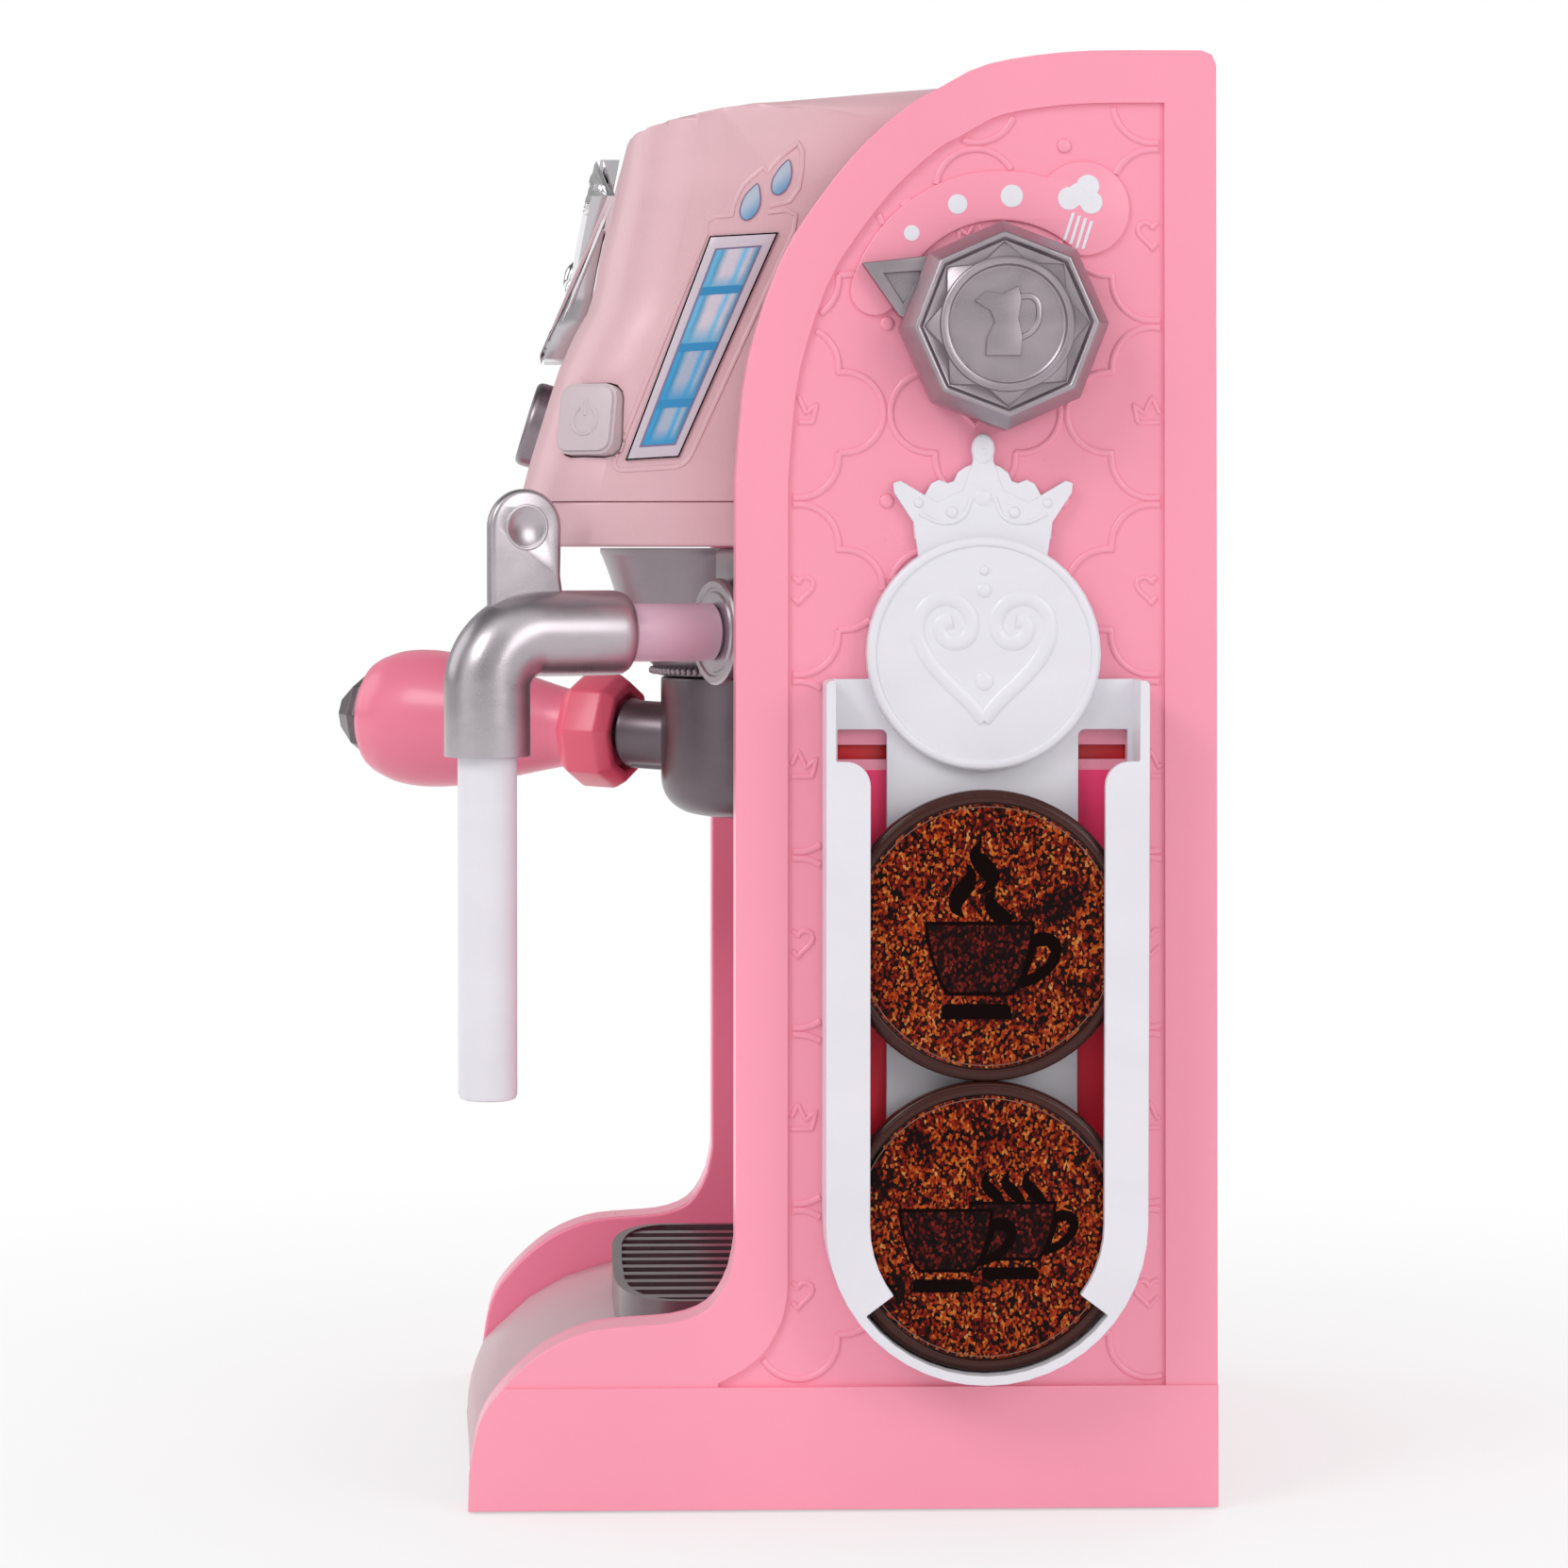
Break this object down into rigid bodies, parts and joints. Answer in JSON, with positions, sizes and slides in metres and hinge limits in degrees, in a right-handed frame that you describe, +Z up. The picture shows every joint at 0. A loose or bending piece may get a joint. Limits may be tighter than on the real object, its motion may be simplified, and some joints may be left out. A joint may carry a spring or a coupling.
{
  "type": "toy coffee maker",
  "caption": "Toy espresso machine with cup bay, drip tray, twist-in portafilter, swinging steam wand, turning steam knob, press buttons and a side rack holding coffee pods.",
  "frame": {"origin": "on the ground under the middle of the base", "axes": "+Z up, -Y towards the front with the cup bay, +X towards the side with the pod rack"},
  "size_m": [0.1802, 0.1873, 0.3],
  "materials": {
    "hot_pink_shell": "gloss moulded plastic, slightly translucent",
    "pale_pink_shell": "pearl gloss",
    "pearl_white": "semi-gloss white with a lavender tint",
    "pewter": "satin pearl grey with fine flake",
    "chrome_trim": "bright plated",
    "pod_brown": "gloss brown",
    "pod_label": "printed coffee grounds",
    "gauge_print": "printed label",
    "dark_inner_plastic": "matt",
    "board_green": "solder mask",
    "battery_jacket": "plain jacket",
    "zinc": "zinc plated"
  },
  "bodies": {
    "housing": {"right_outer_panel": "hot_pink_shell", "left_outer_panel": "hot_pink_shell", "right_liner": "hot_pink_shell", "left_liner": "hot_pink_shell", "base_plate": "hot_pink_shell", "battery_door": "hot_pink_shell", "battery_door_screw": "zinc", "base_screw_left": "zinc", "base_screw_right": "zinc", "battery_box": "dark_inner_plastic", "battery_1": "battery_jacket", "battery_2": "battery_jacket", "battery_3": "battery_jacket", "battery_contact_right": "zinc", "battery_contact_left": "zinc", "front_floor": "pale_pink_shell", "drip_grille": "pewter", "drip_pan": "pewter", "column": "hot_pink_shell", "rear_screw_1": "zinc", "rear_screw_2": "zinc", "rear_screw_3": "zinc", "rear_screw_4": "zinc", "rear_cover": "hot_pink_shell", "circuit_board": "board_green", "speaker": "dark_inner_plastic", "power_switch_body": "dark_inner_plastic", "head_shell": "pale_pink_shell", "head_underside": "pale_pink_shell", "brew_switch": "dark_inner_plastic", "right_switch": "dark_inner_plastic", "left_switch": "dark_inner_plastic", "switch_carrier": "dark_inner_plastic", "crown_badge": "chrome_trim", "right_gauge": "gauge_print", "left_gauge": "gauge_print", "group_head": "pewter", "steam_boss": "pewter", "pod_rack": "pearl_white"},
    "power_switch": {"power_switch_slider": "dark_inner_plastic"},
    "brew_button": {"brew_button": "pewter"},
    "right_button": {"right_button": "pearl_white"},
    "left_button": {"left_button": "pearl_white"},
    "steam_knob": {"steam_knob": "pewter", "steam_knob_shaft": "dark_inner_plastic", "steam_knob_clip": "zinc"},
    "steam_wand": {"steam_arm": "pearl_white", "steam_elbow": "pewter", "steam_nozzle": "pearl_white"},
    "lock_ring": {"lock_ring": "dark_inner_plastic"},
    "portafilter": {"portafilter_bowl": "pewter", "portafilter_handle": "hot_pink_shell", "handle_cap": "pewter", "portafilter_spout": "pewter"},
    "lower_pod": {"lower_pod": "pod_brown", "lower_pod_label": "pod_label"},
    "upper_pod": {"upper_pod": "pod_brown", "upper_pod_label": "pod_label"}
  },
  "joints": [
    {"name": "steam_knob_turn", "type": "hinge", "parent": "housing", "child": "steam_knob", "pos_m": [0.0825, 0.032, 0.2434], "axis": [-1, 0, 0], "range_deg": [0, 98]},
    {"name": "steam_wand_swing", "type": "hinge", "parent": "housing", "child": "steam_wand", "pos_m": [0.055, -0.0262, 0.1805], "axis": [0.3907, -0.9205, 0], "range_deg": [-25, 20]},
    {"name": "brew_button_press", "type": "slide", "parent": "housing", "child": "brew_button", "axis": [0, 0.9563, -0.2923], "range_m": [0, 0.002], "stiffness_N_per_m": 300, "springref_m": -0.001},
    {"name": "right_button_press", "type": "slide", "parent": "housing", "child": "right_button", "axis": [-0.8273, 0.5372, -0.1642], "range_m": [0, 0.002], "stiffness_N_per_m": 300, "springref_m": -0.001},
    {"name": "left_button_press", "type": "slide", "parent": "housing", "child": "left_button", "axis": [0.8273, 0.5372, -0.1642], "range_m": [0, 0.002], "stiffness_N_per_m": 300, "springref_m": -0.001},
    {"name": "portafilter_twist", "type": "hinge", "parent": "housing", "child": "lock_ring", "pos_m": [0, -0.011, 0.17], "axis": [0, 0, 1], "range_deg": [-20, 26]},
    {"name": "portafilter_drop", "type": "slide", "parent": "lock_ring", "child": "portafilter", "axis": [0, 0, -1], "range_m": [0, 0.045]},
    {"name": "lower_pod_lift", "type": "slide", "parent": "housing", "child": "lower_pod", "axis": [0, 0, 1], "range_m": [0, 0.006]},
    {"name": "upper_pod_lift", "type": "slide", "parent": "lower_pod", "child": "upper_pod", "axis": [0, 0, 1], "range_m": [0, 0.0655]},
    {"name": "power_switch_slide", "type": "slide", "parent": "housing", "child": "power_switch", "axis": [0, 0, 1], "range_m": [0, 0.005]}
  ]
}
